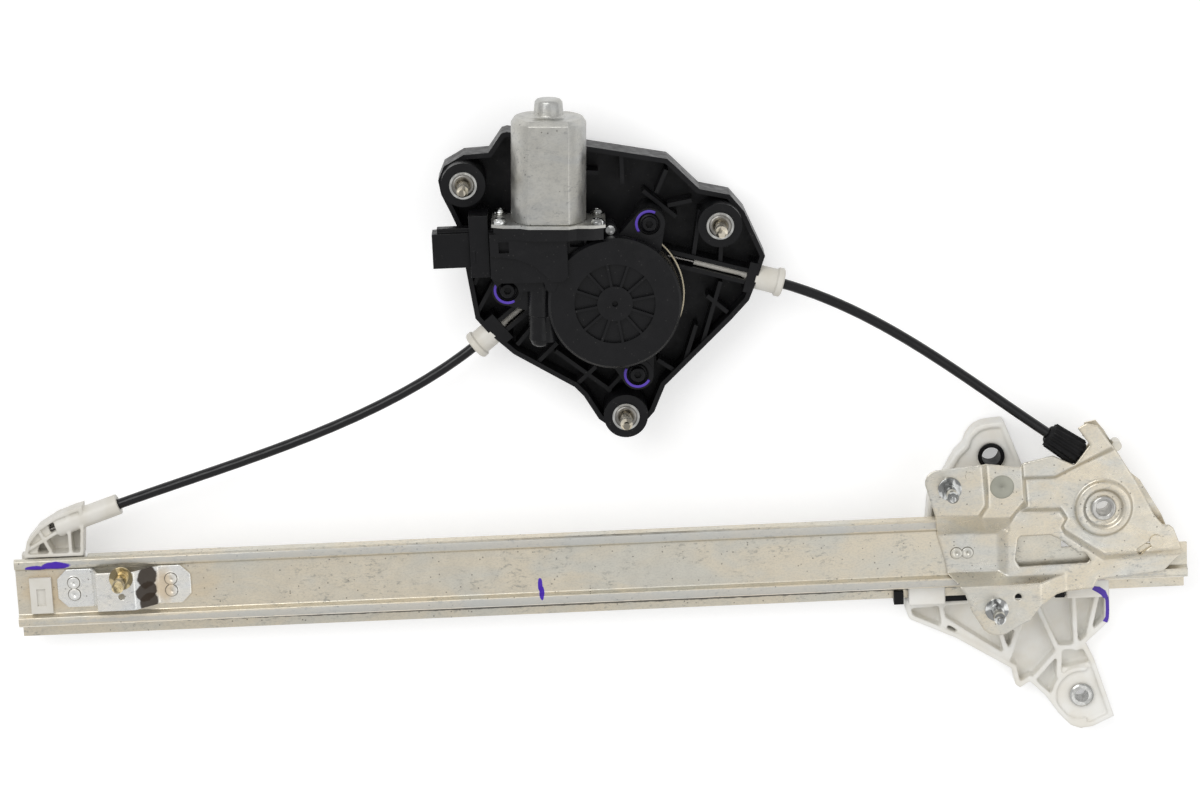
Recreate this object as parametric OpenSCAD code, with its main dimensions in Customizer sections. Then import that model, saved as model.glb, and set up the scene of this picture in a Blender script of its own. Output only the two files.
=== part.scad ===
// Cable window regulator for a car door: guide rail, glass carrier, two cables and a geared motor.
// +X runs along the rail towards the pulley, +Y from the rail to the motor, +Z along the mounting studs.
// The origin is where the lower rail stud meets its seating plane; all seating faces lie at z = 0.

/* [Rail] */
// Length of the guide rail
rail_length = 597; // [560:1:640]
// Distance from the rail's lower end to the lower stud
rail_overhang = 55; // [50:1:60]
// Sheet thickness of the rail
rail_sheet = 1.4; // [1:0.1:1.6]
// Width of the rail across its two beads
rail_width = 36.2; // [34:0.1:38]
// Width of each rounded bead
bead_width = 5.2; // [4.5:0.1:6]
// Height of the beads over the web
bead_height = 3; // [2:0.1:3.4]
// Depth of the rail's web behind the seating plane
web_depth = 12; // [11:0.1:13]
// Depth of the lower side wall below the web
lower_wall = 10; // [9:0.1:11]
// Depth of the upper side wall below the web
upper_wall = 5; // [4:0.1:6]
// Width of the slide flange outside the lower wall
flange_width = 8.5; // [7:0.1:9]
// Distance from the lower stud down to the rail's middle line
rail_drop = 8.9; // [8:0.1:9.5]

/* [Lower bracket] */
// Length of the lower stud bracket
bracket_length = 68; // [60:1:72]
// Width of the lower stud bracket
bracket_width = 20.4; // [18:0.2:21]
// Sheet thickness of the brackets and plates
plate_sheet = 1.4; // [1:0.1:1.8]

/* [Studs] */
// Thread diameter of every mounting stud
stud_diameter = 6; // [5:0.5:6]
// Height of the mounting studs over their seats
stud_height = 18; // [14:1:22]
// Diameter of the stud collars
collar_diameter = 12; // [10:0.5:13]
// Height of the collars over their sheet
collar_height = 1.2; // [0.8:0.1:1.5]

/* [Cable] */
// Diameter of the steel cable
cable_diameter = 1.5; // [1.2:0.1:1.6]
// Distance from the seating plane back to the plane of the cable
cable_depth = 16; // [15.6:0.1:16.4]
// Pitch radius of the pulley
pulley_radius = 16; // [15:0.5:17]
// Radius of the cable's bend in the lower guide
guide_radius = 14; // [12:0.5:14]
// Outer diameter of the conduits
conduit_diameter = 5.5; // [5:0.1:6]
// Pitch radius of the cable drum
drum_radius = 24; // [22:0.5:24.5]

/* [Motor unit] */
// Radius of the round gear case
case_radius = 33; // [32:0.5:34]
// Thickness of the gear cover
cover_thickness = 3.2; // [2.4:0.1:4]
// Spokes moulded in the gear cover
cover_spokes = 12; // [8:1:16]
// Width of the motor can
can_width = 37; // [35:0.5:38]
// Thickness of the motor can across its flats
can_thickness = 31.6; // [30:0.2:32]
// Length of the motor can
can_length = 53; // [48:1:58]
// Lean of the motor's shaft from the rail's normal
motor_lean = 2.6; // [2:0.2:3]
// Wall thickness of the drum housing
housing_wall = 2.4; // [2:0.1:3]

/* [Carrier] */
// Thickness of the glass carrier
carrier_thickness = 12; // [10:0.5:14]
// Wall thickness of the carrier's ribs
carrier_rib = 2.6; // [2:0.1:3.2]
// Hole diameter of the steel bushing
bushing_hole = 7; // [6:0.5:7.5]
// Hole diameter of the grommet clip
grommet_hole = 9.5; // [9:0.5:10]

/* [Hidden] */
$fn = 64;

gap = 0.3;
running = 0.05;
cable_r = cable_diameter / 2;

// Heights of the rail's surfaces
rail_x0 = -rail_overhang;
rail_x1 = rail_length - rail_overhang;
rail_y = -rail_drop;
web_front = -web_depth;
web_back = web_front - rail_sheet;
bead_front = web_front + bead_height;
upper_y = rail_y + rail_width / 2;
lower_y = rail_y - rail_width / 2;
upper_edge = web_front - upper_wall;
flange_front = web_front - lower_wall;
flange_back = flange_front - rail_sheet;
flange_y = lower_y - flange_width;

// Heights of the pulley plate's levels: on the web, over the beads, the raised disc and the tabs
low_front = web_front + plate_sheet;
tab_front = -collar_height;
mid_front = bead_front + gap + plate_sheet;
disc_front = -4.5;

// Route of the cable, all in one plane
cable_z = -cable_depth;
pulley_c = [rail_x1 - 42.7, 11.7];
run_y = pulley_c[1] - pulley_radius;
lead_angle = 18.3;
guide_c = [-31.8, run_y + guide_radius];
guide_exit = guide_c + guide_radius * [cos(90 + lead_angle), sin(90 + lead_angle)];
guide_tube = 38;
left_start = guide_exit + (guide_tube - 8) * [cos(lead_angle), sin(lead_angle)];
drum_c = [255.7, 135];
left_angle = 38.5;
right_angle = -16.5;
boot_angle = -35.4;
left_tangent = drum_c + drum_radius * [cos(90 + left_angle), sin(90 + left_angle)];
right_tangent = drum_c + drum_radius * [cos(90 + right_angle), sin(90 + right_angle)];
left_mouth = left_tangent - 72 * [cos(left_angle), sin(left_angle)];
right_mouth = right_tangent + 81 * [cos(right_angle), sin(right_angle)];
pulley_tangent = pulley_c + pulley_radius * [cos(90 + boot_angle), sin(90 + boot_angle)];
boot_end = pulley_tangent - 24 * [cos(boot_angle), sin(boot_angle)];
boot_length = 21;
conduit_seat = 8;

// The motor's shaft line and the gear case
motor_foot = [224.7, 175.5];
motor_z = 3;
case_back = -8;
case_front = 10;
wheel_radius = 28.6;
worm_radius = 3.9;
shaft_r = 2.4;

// The drum housing
housing_back = -28;
housing_floor = housing_back + housing_wall;
rim_front = -10;
drum_back = housing_floor + gap;
drum_front = case_back - 1.2;
housing_stud_places = [[183.4, 194.9], [309.4, 169], [258.9, 73.4]];
case_screw_places = [[274.2, 172.5], [202.9, 141.9], [265.6, 96.1]];
plate_stud_places = [pulley_c + [-78.8, 16.4], pulley_c + [-56, -48.6]];
plate_rivet = pulley_c + [26.8, -18.9];

// The glass carrier
carrier_front = -26;
carrier_back = carrier_front - carrier_thickness;
carrier_x = pulley_c[0] - 49.3;
bushing_place = [carrier_x + 39.6, -94.4];
grommet_place = [carrier_x - 5.7, 37.2];

function unit(v) = v / norm(v);
function left(v) = [-v[1], v[0]];
function reverse(list) = [for (i = [len(list) - 1 : -1 : 0]) list[i]];
function direction(a) = [cos(a), sin(a)];
function arc(c, r, from, to, steps) =
    [for (i = [0 : steps]) c + r * direction(from + (to - from) * i / steps)];
// A corner moved sideways by d, with the edges before and after it kept parallel
function mitre(a, b, c, d) =
    let(n = left(unit(b - a)), m = unit(n + left(unit(c - b)))) b + m * d / (m * n);
function inset(list, d) = let(n = len(list))
    [for (i = [0 : n - 1]) mitre(list[(i + n - 1) % n], list[i], list[(i + 1) % n], d)];
function side(line, d) = let(n = len(line))
    [for (i = [0 : n - 1])
        i == 0 ? line[0] + left(unit(line[1] - line[0])) * d
        : i == n - 1 ? line[i] + left(unit(line[i] - line[i - 1])) * d
        : mitre(line[i - 1], line[i], line[i + 1], d)];
// The outline of a sheet of thickness t that follows a line
function ribbon(line, t) = concat(side(line, t / 2), reverse(side(line, -t / 2)));
function bezier(a, b, c, d, t) =
    pow(1 - t, 3) * a + 3 * pow(1 - t, 2) * t * b + 3 * (1 - t) * t * t * c + pow(t, 3) * d;

function flat(list) = [for (p = list) 0];

module slab(outline, z0, z1) {
    translate([0, 0, z0]) linear_extrude(z1 - z0) polygon(outline);
}

module disc(c, r, z0, z1) {
    translate([c[0], c[1], z0]) cylinder(h = z1 - z0, r = r);
}

// A tray: a floor with a wall round its outline
module tray(outline, wall, z0, z_floor, z1) {
    difference() {
        slab(outline, z0, z1);
        slab(inset(outline, wall), z_floor, z1 + 1);
    }
}

// Straight ribs from point to point, cut off at the outline
module ribs(lines, width, outline, z0, z1) {
    translate([0, 0, z0]) linear_extrude(z1 - z0) intersection() {
        polygon(outline);
        union() for (q = lines) {
            d = q[1] - q[0];
            translate(q[0]) rotate(atan2(d[1], d[0])) translate([0, -width / 2])
                square([norm(d), width]);
        }
    }
}

// A block whose outline changes from low to high
module frustum(low, high, z0, z1) {
    n = len(low);
    polyhedron(
        points = concat([for (p = low) [p[0], p[1], z0]], [for (p = high) [p[0], p[1], z1]]),
        faces = concat(
            [[for (i = [0 : n - 1]) i]],
            [[for (i = [n - 1 : -1 : 0]) n + i]],
            [for (i = [0 : n - 1]) [i, n + i, (i + 1) % n]],
            [for (i = [0 : n - 1]) [n + i, n + (i + 1) % n, (i + 1) % n]]));
}

// A straight round hole in the cable's plane, from a towards the angle
module rod(a, angle, r, length) {
    translate([a[0], a[1], cable_z]) rotate([0, 0, angle]) rotate([0, 90, 0])
        cylinder(h = length, r = r);
}

// A hose swept along points that lie near the cable's plane; rise lists their heights over it
module hose(route, rise, r, sides) {
    n = len(route);
    along = [for (i = [0 : n - 1]) unit(route[min(i + 1, n - 1)] - route[max(i - 1, 0)])];
    polyhedron(
        points = [for (i = [0 : n - 1]) for (k = [0 : sides - 1])
            let(a = 360 * k / sides, p = route[i] + left(along[i]) * r * cos(a))
            [p[0], p[1], cable_z + rise[i] + r * sin(a)]],
        faces = concat(
            [[for (k = [0 : sides - 1]) k]],
            [[for (k = [sides - 1 : -1 : 0]) (n - 1) * sides + k]],
            [for (i = [0 : n - 2]) for (k = [0 : sides - 1])
                let(a = i * sides + k, b = i * sides + (k + 1) % sides)
                [a, a + sides, b]],
            [for (i = [0 : n - 2]) for (k = [0 : sides - 1])
                let(a = i * sides + k, b = i * sides + (k + 1) % sides)
                [a + sides, b + sides, b]]));
}

// Puts a shape whose z axis is the motor's shaft in its place
module on_motor() {
    translate([motor_foot[0], motor_foot[1], motor_z]) rotate([0, 0, -motor_lean])
        rotate([-90, 0, 0]) children();
}

module ring(r_out, r_in, z0, z1) {
    translate([0, 0, z0]) difference() {
        cylinder(h = z1 - z0, r = r_out);
        translate([0, 0, -1]) cylinder(h = z1 - z0 + 2, r = r_in);
    }
}

// Middle line of the rail's section, from the upper edge to the slide flange
bead_top = bead_front - rail_sheet / 2;
web_mid = web_front - rail_sheet / 2;
upper_mid = upper_y - rail_sheet / 2;
lower_mid = lower_y + rail_sheet / 2;
bead_in = bead_width - rail_sheet / 2;
rail_line = [
    [upper_mid, upper_edge],
    [upper_mid, bead_top - 1.2],
    [upper_mid - 0.7, bead_top - 0.2],
    [upper_mid - bead_in / 2, bead_top],
    [upper_mid - bead_in + 0.7, bead_top - 0.3],
    [upper_mid - bead_in - 0.6, web_mid + 0.4],
    [upper_mid - bead_in - 1.6, web_mid],
    [lower_mid + bead_in + 1.6, web_mid],
    [lower_mid + bead_in + 0.6, web_mid + 0.4],
    [lower_mid + bead_in - 0.7, bead_top - 0.3],
    [lower_mid + bead_in / 2, bead_top],
    [lower_mid + 0.7, bead_top - 0.2],
    [lower_mid, bead_top - 1.2],
    [lower_mid, flange_front + 0.4],
    [lower_mid - 1.1, flange_front - rail_sheet / 2],
    [flange_y, flange_front - rail_sheet / 2]];
notch_x = pulley_c[0] - pulley_radius - 5.5;
notch_y = pulley_c[1] - pulley_radius - 4.5;
clip_x = -bracket_length / 2 - 8.5;

module rail_bar(thickness) {
    translate([rail_x0, 0, 0]) rotate([90, 0, 90]) linear_extrude(rail_length)
        polygon(ribbon(rail_line, thickness));
}

module guide_rail() {
    color("silver") difference() {
        rail_bar(rail_sheet);
        translate([notch_x, notch_y, flange_back]) cube([rail_length, 60, 30]);
        translate([rail_x0 - 1, upper_y - 4, upper_edge - 1])
            cube([rail_overhang - 17, 5, web_front + 0.5 - upper_edge + 1]);
        translate([clip_x - 4, rail_y - 9, web_back - 1]) cube([8, 11, rail_sheet + 2]);
    }
}

bracket_x0 = -bracket_length / 2;
bracket_y = rail_y + 1.6;
module lower_bracket() {
    chamfer = 5;
    x1 = -bracket_x0;
    h = bracket_width / 2;
    rise = [[bracket_x0, low_front], [-15.5, low_front], [-12.4, tab_front], [6, tab_front],
        [17.5, low_front], [x1, low_front]];
    outline = [[bracket_x0, -h + chamfer], [bracket_x0 + chamfer, -h], [x1 - chamfer, -h],
        [x1, -h + chamfer], [x1, h - chamfer], [x1 - chamfer, h], [bracket_x0 + chamfer, h],
        [bracket_x0, h - chamfer]];
    color("gainsboro") difference() {
        intersection() {
            rotate([90, 0, 0]) translate([0, 0, -bracket_y - bracket_width])
                linear_extrude(2 * bracket_width)
                polygon(ribbon([for (p = rise) p - [0, plate_sheet / 2]], plate_sheet));
            slab([for (p = outline) p + [0, bracket_y]], web_front - 1, 1);
        }
        disc([0, 0], stud_diameter / 2, tab_front - 2 * plate_sheet, 1);
        disc([-0.5, -10], 1.6, tab_front - 2 * plate_sheet, 1);
    }
    for (end = [-25.5, 24]) for (s = [-3.1, 3.1])
        color("gainsboro") disc([end, bracket_y + s], 3, low_front, low_front + 0.6);
}

// A weld stud: head behind the sheet, collar on it and a threaded end with a round tip
module stud(place) {
    r = stud_diameter / 2;
    tip = 3;
    back = tab_front - plate_sheet;
    profile = [[0, back - 1.6], [r + 2, back - 1.6], [r + 2, back],
        [r, back], [r, tab_front], [collar_diameter / 2, tab_front],
        [collar_diameter / 2, 0], [r, 0], [r, stud_height - tip], [r - 1.2, stud_height - tip + 1.2],
        [r - 1.2, stud_height - 0.6], [r - 1.8, stud_height], [0, stud_height]];
    translate([place[0], place[1], 0]) rotate_extrude() polygon(profile);
}

module lower_stud() {
    color("darkkhaki") stud([0, 0]);
}

module plate_studs() {
    color("silver") for (p = plate_stud_places) stud(p);
}

module rail_clip() {
    color("white") {
        translate([clip_x - 5.6, rail_y - 11, web_front]) difference() {
            cube([11.2, 19, 2.2]);
            translate([3.4, 4, 0.8]) cube([4.4, 9, 3]);
        }
        translate([clip_x - 3.7, rail_y - 8.7, web_back - 2]) cube([7.4, 10.4, rail_sheet + 2]);
        translate([clip_x - 4.6, rail_y - 8.7, web_back - 2]) cube([9.2, 10.4, 1.7]);
    }
}

// The lower guide: a ribbed open box round the cable's bend, a foot in the rail and a tube
guide_back = -22.5;
guide_front = -11.2;
guide_outline = [[-19.5, 9.6], [-18.3, 23.5], [-18.3, 35.7], [-23.5, 34.3], [-32.4, 31],
    [-41.5, 25.6], [-47.7, 18.4], [-50, 9.6]];
guide_route = concat([guide_exit + 2 * guide_tube * direction(lead_angle)],
    arc(guide_c, guide_radius, 90 + lead_angle, 270, 14), [[guide_c[0] + 40, run_y]]);
guide_ribs = [[[-47, 14], [-24, 27]], [[-42, 25], [-36, 12]], [[-26, 10], [-26, 34]],
    [[-31, 25], [-19, 26]]];
module cable_guide() {
    wall = 1.8;
    foot_top = upper_edge - gap;
    groove = cable_r + 0.3;
    tube_start = guide_exit + 10 * direction(lead_angle);
    color("whitesmoke") difference() {
        union() {
            tray(guide_outline, wall, guide_back, guide_back + wall, guide_front);
            ribs(guide_ribs, wall, inset(guide_outline, wall / 2), guide_back + 1, guide_front - 0.6);
            intersection() {
                translate([guide_c[0], guide_c[1], cable_z - 3]) ring(guide_radius + 3.2,
                    guide_radius - 2.6, 0, web_back - gap - cable_z + 3);
                slab([[-60, -9], [guide_c[0], -9], guide_c, guide_exit + [0, 1],
                    [guide_exit[0] - 4, 40], [-60, 40]], guide_back, guide_front);
            }
            translate([rail_x0 + 3, rail_y - 9, guide_back]) cube([32, 28, foot_top - guide_back]);
            translate([rail_x0 + 19, rail_y - 9, foot_top]) cube([16, 6.5, web_back - foot_top]);
            rod(tube_start - 6 * direction(lead_angle), lead_angle, 5.3, guide_tube - 4);
        }
        hose(guide_route, flat(guide_route), groove, 16);
        rod(left_start, lead_angle, conduit_diameter / 2 + 0.02, 30);
    }
}

// Outline of the pulley plate from the pulley's centre, round from the raised tab's corner
plate_outline = concat(
    arc([-84.8, 19.8], 6.5, 100, 190, 4),
    [[-86.3, 1.8], [-84.9, -10.9], [-81.1, -24.4], [-80.1, -31.4], [-75.1, -35.3], [-72, -39.8],
        [-68.8, -49.4]],
    arc([-55.3, -53.2], 9.8, 200, 300, 5),
    [[-44.6, -58.2], [-39, -55.7], [-33.4, -48.2], [-24.7, -43.3], [-5.9, -41.8], [-3.6, -37.3],
        [29.6, -34.5], [40.1, -24.1], [35.7, -12.4], [33.5, -10.5], [30.2, -10.4], [25.8, -5],
        [17, 12.7], [7.2, 29.2], [-3, 44.2], [-8.5, 45.8], [-13.2, 43.4], [-7.1, 34.5],
        [-14.8, 24.1], [-25.7, 29.5], [-40.4, 26.5], [-42.6, 25], [-63.3, 28]]);
// Raised forms of the plate: outline at the foot, outline at the top, height of the top
plate_forms = [
    [[[-99.3, -12.7], [-58.3, -12.7], [-53.3, 0.3], [-53.3, 38.3], [-99.3, 38.3]],
        [[-99.3, 2.5], [-64.9, 1.6], [-61.3, 6.9], [-63.3, 38.3], [-99.3, 38.3]], tab_front],
    [[[-65.3, -13.7], [-47.3, -13.7], [-37.8, 1.3], [-40.3, 38.3], [-65.3, 38.3]],
        [[-65.3, -0.7], [-48.3, -1.1], [-41.1, 7.3], [-42.7, 38.3], [-65.3, 38.3]], disc_front],
    [[[-99.3, -71.7], [-3.3, -71.7], [-9.3, -30.9], [-44.3, -30.5], [-81.3, -29.9], [-99.3, -30.3]],
        [[-99.3, -71.7], [-33.3, -71.7], [-33.3, -35.9], [-49.3, -36.3], [-75.3, -36.3], [-99.3, -36.7]], tab_front],
    [[[-55.3, -73.7], [45.7, -73.7], [45.7, -22.2], [1.7, -23.7], [-18.3, -9.9], [-19.5, -8.7], [-17.3, -4.5],
        [-21.1, 2.1], [-50.3, 2.9], [-53.3, -7.5], [-55.3, -8.3]],
        [[-49.8, -73.7], [45.7, -73.7], [45.7, -25.3], [-0.3, -27], [-20.3, -12.7], [-22.3, -8.4], [-20, -4.5],
        [-23, -0.2], [-47.3, 0.7], [-48.8, -8.7], [-49.8, -9.7]], mid_front],
    [[[-43.1, 15.9], [-23.9, 15.7], [-10.2, 22.6], [12.7, 32.3], [0.7, 58.3], [-49.3, 58.3]],
        [[-42.7, 19.2], [-24.8, 19], [-12.1, 25.2], [8.7, 35.5], [0.7, 58.3], [-49.3, 58.3]],
        mid_front]];
plate_window = [[-43.9, -13.7], [-45.3, -24.9], [-43.3, -28.5], [-8.5, -27.8], [-7.4, -26.1],
    [-10.1, -22.5], [-13.5, -22.3], [-23.3, -14.4], [-27.7, -12.3], [-42.8, -12.5]];

// The plate's sheet with its stamped forms, as one mesh
module stamped_sheet() {
    floor_z = web_front - plate_sheet;
    resize([0, 0, 0]) difference() {
        translate(concat(pulley_c, 0)) difference() {
            intersection() {
                slab(plate_outline, web_front - 3, 2);
                difference() {
                    union() {
                        slab([[-100, -72], [46, -72], [46, 49], [-100, 49]], web_front, low_front);
                        for (f = plate_forms) frustum(f[0], f[1], web_front, f[2]);
                    }
                    for (f = plate_forms) frustum(inset(f[0], plate_sheet / 2),
                        inset(f[1], plate_sheet / 2), floor_z, f[2] - plate_sheet);
                }
            }
            slab(plate_window, web_front - 2, 0);
            disc([-44.9, -42.6], 1.7, -3, 1);
            translate([19.2, -23.3, web_front - 1]) rotate(32) translate([-2, -1.4, 0])
                cube([8, 2.8, 6]);
        }
        intersection() {
            rail_bar(rail_sheet + 2 * gap + 0.06);
            for (y = [rail_y - 26, rail_y + 9.5])
                translate([pulley_c[0] - 100, y, web_front - 2])
                cube([notch_x - pulley_c[0] + (y < rail_y - 20 ? 170 : 100), 16.5, 20]);
        }
    }
}

module pulley_plate() {
    color("lightgray") difference() {
        stamped_sheet();
        disc(pulley_c, 15, web_front - 2, 0);
        for (p = plate_stud_places) disc(p, stud_diameter / 2, -3, 1);
    }
    color("lightgray") translate(concat(pulley_c, 0)) rotate_extrude() polygon([
        [5.3, web_front], [9.4, web_front], [11.2, web_front + 2], [13.2, web_front + 2],
        [14.4, web_front], [16, web_front], [16, low_front], [15, low_front], [13.7, low_front + 2],
        [10.7, low_front + 2], [8.9, low_front], [5.3, low_front]]);
}

back_front = -20;
back_outline = [[-9.1, 35.8], [-5.1, 32.9], [-14.1, 20], [-15.3, 8.3], [-7.3, 2.3], [-7.3, -14.7], [21.7, -18.7],
    [35.7, -19.7], [30.7, -7.1], [20.1, 11.1], [15.5, 15], [7.9, 27.8], [1.9, 38.4], [-2.3, 43.7],
    [-8, 42.6]];
module back_plate() {
    color("lightgray") {
        difference() {
            translate(concat(pulley_c, 0)) slab(back_outline, back_front - plate_sheet, back_front);
            disc(pulley_c, 4.2, back_front - 3, back_front + 1);
        }
        disc(plate_rivet, 1.4, back_front, web_front);
        disc(pulley_c + [7.2, 31.8], 2.6, back_front, web_front);
    }
}

module pulley_axle() {
    r = 5.2;
    hole = 3.9;
    back = back_front - plate_sheet;
    color("silver") translate([pulley_c[0], pulley_c[1], 0]) rotate_extrude() polygon([
        [hole, back - 1.2], [6.4, back - 1.2], [6.4, back], [4.2, back], [4.2, back_front],
        [r, back_front], [r, low_front], [6.5, low_front], [6.5, low_front + 1.2],
        [5.6, low_front + 1.9], [hole, low_front + 1.4]]);
}

module plate_rivets() {
    color("lightgray") {
        for (x = [-75.1, -69.5]) disc(pulley_c + [x, -20.7], 2.9, low_front, low_front + 0.7);
        disc(plate_rivet, 3.4, low_front, low_front + 0.9);
        disc(pulley_c + [-68.6, 22.3], 2.2, tab_front, tab_front + 0.5);
    }
}

module conduit_boot() {
    a = boot_angle;
    ridges = 14;
    color("black") translate([boot_end[0], boot_end[1], cable_z]) rotate([0, 0, a])
        rotate([0, 90, 0]) difference() {
            union() {
                rotate_extrude() polygon([[1, -boot_length], [4.2, -boot_length],
                    [5.6, -boot_length + 2], [6.5, -3], [5.8, -0.8], [4.6, 0], [1, 0]]);
                for (k = [0 : ridges - 1]) rotate(360 / ridges * k)
                    translate([0, 0, -boot_length + 1.6]) linear_extrude(boot_length - 3.6,
                    scale = 1.1) polygon([[4, -0.75], [6.3, -0.55], [6.9, 0], [6.3, 0.55], [4, 0.75]]);
            }
            translate([0, 0, -boot_length - 1])
                cylinder(h = boot_length - 3, r = conduit_diameter / 2 + 0.02);
        }
}

// The conduits leave their seats in line with them
function conduit_route(a, a_angle, b, b_angle, pull, steps) = [for (i = [0 : steps])
    bezier(a, a + pull * direction(a_angle), b - pull * direction(b_angle), b, i / steps)];
left_route = conduit_route(left_start, lead_angle, left_mouth + conduit_seat * direction(left_angle),
    left_angle, 70, 17);
right_route = conduit_route(right_mouth - conduit_seat * direction(right_angle), right_angle,
    boot_end - (boot_length - 12) * direction(boot_angle), boot_angle, 60, 14);

module left_conduit() {
    color("black") hose(left_route, flat(left_route), conduit_diameter / 2, 10);
}

module right_conduit() {
    color("black") hose(right_route, flat(right_route), conduit_diameter / 2, 10);
}

// A white end fitting: collar, body in the housing's rim and a bored nose with its liner
fitting_body = 15;
left_liner = 24;
right_liner = 31;
module fitting(mouth, angle, liner) {
    color("white") translate([mouth[0], mouth[1], cable_z]) rotate([0, 0, angle])
        rotate([0, 90, 0]) difference() {
            rotate_extrude() polygon([[1, 0], [6.4, 0], [7.3, 0.8], [7.3, 3.2], [6.3, 4],
                [6.2, fitting_body - 0.6], [3.9, fitting_body - 0.2], [1.8, fitting_body + 6],
                [1.6, fitting_body + 7], [1.6, fitting_body + liner], [1, fitting_body + liner]]);
            translate([0, 0, -1]) cylinder(h = conduit_seat + 1, r = conduit_diameter / 2 + 0.02);
        }
}

module left_fitting() {
    fitting(left_mouth, left_angle, left_liner);
}

module right_fitting() {
    fitting(right_mouth, right_angle + 180, right_liner);
}

// Outline of the drum housing, round from the left edge by the lowest stud
housing_outline = [[172, 189], [176.2, 179.6], [179.5, 171.4], [182.3, 150.6], [185.8, 125],
    [192.2, 117], [203.9, 105.9], [233.8, 87.4], [238.2, 82.5], [245.3, 70.2], [249.9, 66.6],
    [255.9, 63.5], [261.3, 63.3], [267.6, 66.6], [273.3, 72.8], [279.2, 86.1], [313.9, 119],
    [322.7, 128.2], [326.5, 137], [331.5, 150.6], [321.9, 173.6], [315, 182.5], [300, 186.1],
    [286.8, 199.9], [284.5, 202], [245.3, 210], [206, 219], [203.2, 218.3], [196.4, 208.9],
    [184, 208.4], [174, 203], [170.9, 196]];
housing_ribs = [[[186, 126], [196, 143]], [[214.8, 99.5], [226, 110]], [[234, 87.5], [245, 97]],
    [[225, 106], [252, 84]], [[298, 104], [309, 138]], [[276, 99], [286, 92]],
    [[278.6, 184.6], [284, 196]], [[296, 180], [284, 178]], [[310, 158], [309, 146]],
    [[300, 175], [296, 152]], [[262, 190], [262, 204]], [[240, 192], [236, 208]],
    [[250, 84], [262, 96]], [[190, 180], [205, 168]], [[206, 110], [222, 128]],
    [[288, 93], [296, 116]], [[186, 142], [194, 158]], [[272, 186], [288, 172]],
    [[312, 122], [302, 131]], [[214, 200], [250, 196]]];

module cable_channel(mouth, angle, length) {
    a = direction(angle);
    inside = inset(housing_outline, housing_wall / 2);
    ribs([[mouth + 6 * a, mouth + 19 * a]], 15.6, inside, housing_floor - 1, rim_front + 0.4);
    ribs([[mouth + 15 * a, mouth + (9 + length) * a]], 8.2, inside, housing_floor - 1,
        rim_front - 0.5);
}

module cable_channel_bore(mouth, angle, length) {
    translate([mouth[0], mouth[1], 0]) rotate(angle) translate([fitting_body + 4, -2, cable_z - 4])
        cube([length, 4, 22]);
    rod(mouth - 2 * direction(angle), angle, 6.25, fitting_body + 2);
    rod(mouth, angle, 4.05, fitting_body + 6.5);
}

module drum_housing() {
    boss_front = -1.5;
    color("dimgray") difference() {
        union() {
            tray(housing_outline, housing_wall, housing_back, housing_floor, rim_front);
            disc(drum_c, drum_radius + 6.4, housing_back, drum_front);
            for (p = housing_stud_places) disc(p, 11, housing_back, boss_front);
            for (p = case_screw_places) disc(p, 7.2, housing_back, case_back);
            ribs(housing_ribs, 2, inset(housing_outline, housing_wall / 2), housing_floor - 1,
                rim_front - 2);
            cable_channel(left_mouth, left_angle, 50);
            cable_channel(right_mouth, right_angle + 180, 54);
        }
        disc(drum_c, drum_radius + 3.2, housing_floor, case_back + 1);
        for (p = housing_stud_places) disc(p, 5.03, housing_back - 1, 1);
        for (p = case_screw_places) disc(p, 2.02, -22, 0);
        cable_channel_bore(left_mouth, left_angle, 45);
        cable_channel_bore(right_mouth, right_angle + 180, 54);
        disc(drum_c, 3, housing_back - 1, housing_back + 1);
        on_motor() can_section(can_width / 2 + 0.6, can_thickness + 1.2, 0, can_length);
    }
    color("dimgray") disc(drum_c, 4, housing_floor - 1, -19);
}

shank_r = stud_diameter / 2 - 0.2;
module housing_bushings() {
    color("silver") for (p = housing_stud_places) translate([p[0], p[1], 0]) rotate_extrude()
        polygon([[shank_r, -16], [5, -16], [5, -1.5], [6.8, -1.5], [6.8, 0], [shank_r, 0]]);
}

module housing_studs() {
    r = stud_diameter / 2;
    color("silver") for (p = housing_stud_places) translate([p[0], p[1], 0]) rotate_extrude()
        polygon([[0, housing_back], [5, housing_back], [5, -16], [shank_r, -16], [shank_r, 0],
            [r, 0], [r, stud_height - 4],
            [r - 1.3, stud_height - 2.6], [r - 1.3, stud_height], [0, stud_height]]);
}

// The worm end of the case: its foot, the brush box, the raised part of that and the flange
box_foot = [[195, 150.2], [199.2, 142.3], [226.7, 142.3], [233.6, 149], [243, 163.7], [243, 170],
    [250, 171.5], [250.7, 174.2], [195, 174.2]];
box_body = [[195.3, 173.8], [195.3, 150.6], [201, 148], [221, 147.6], [223, 142.8], [226.4, 142.8],
    [228, 147.4], [231.2, 147.6], [233.6, 150.5], [233.6, 173.8]];
box_top = [[195.6, 173.4], [195.6, 162.2], [200, 161.8], [207.8, 160.6], [216.3, 157], [222.6, 151],
    [225, 148.2], [230.8, 148.2], [233.2, 150.8], [233.2, 173.4]];
flange_outline = [[-28, -13], [-22, -15.5], [-14, -15.5], [-10, -18], [10, -18], [14, -15.5],
    [22, -15.5], [28, -13], [28, 14], [-28, 14]];
flange_holes = [for (x = [-24, 24]) for (y = [-11.5, 11.5]) [x, y]];
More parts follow.
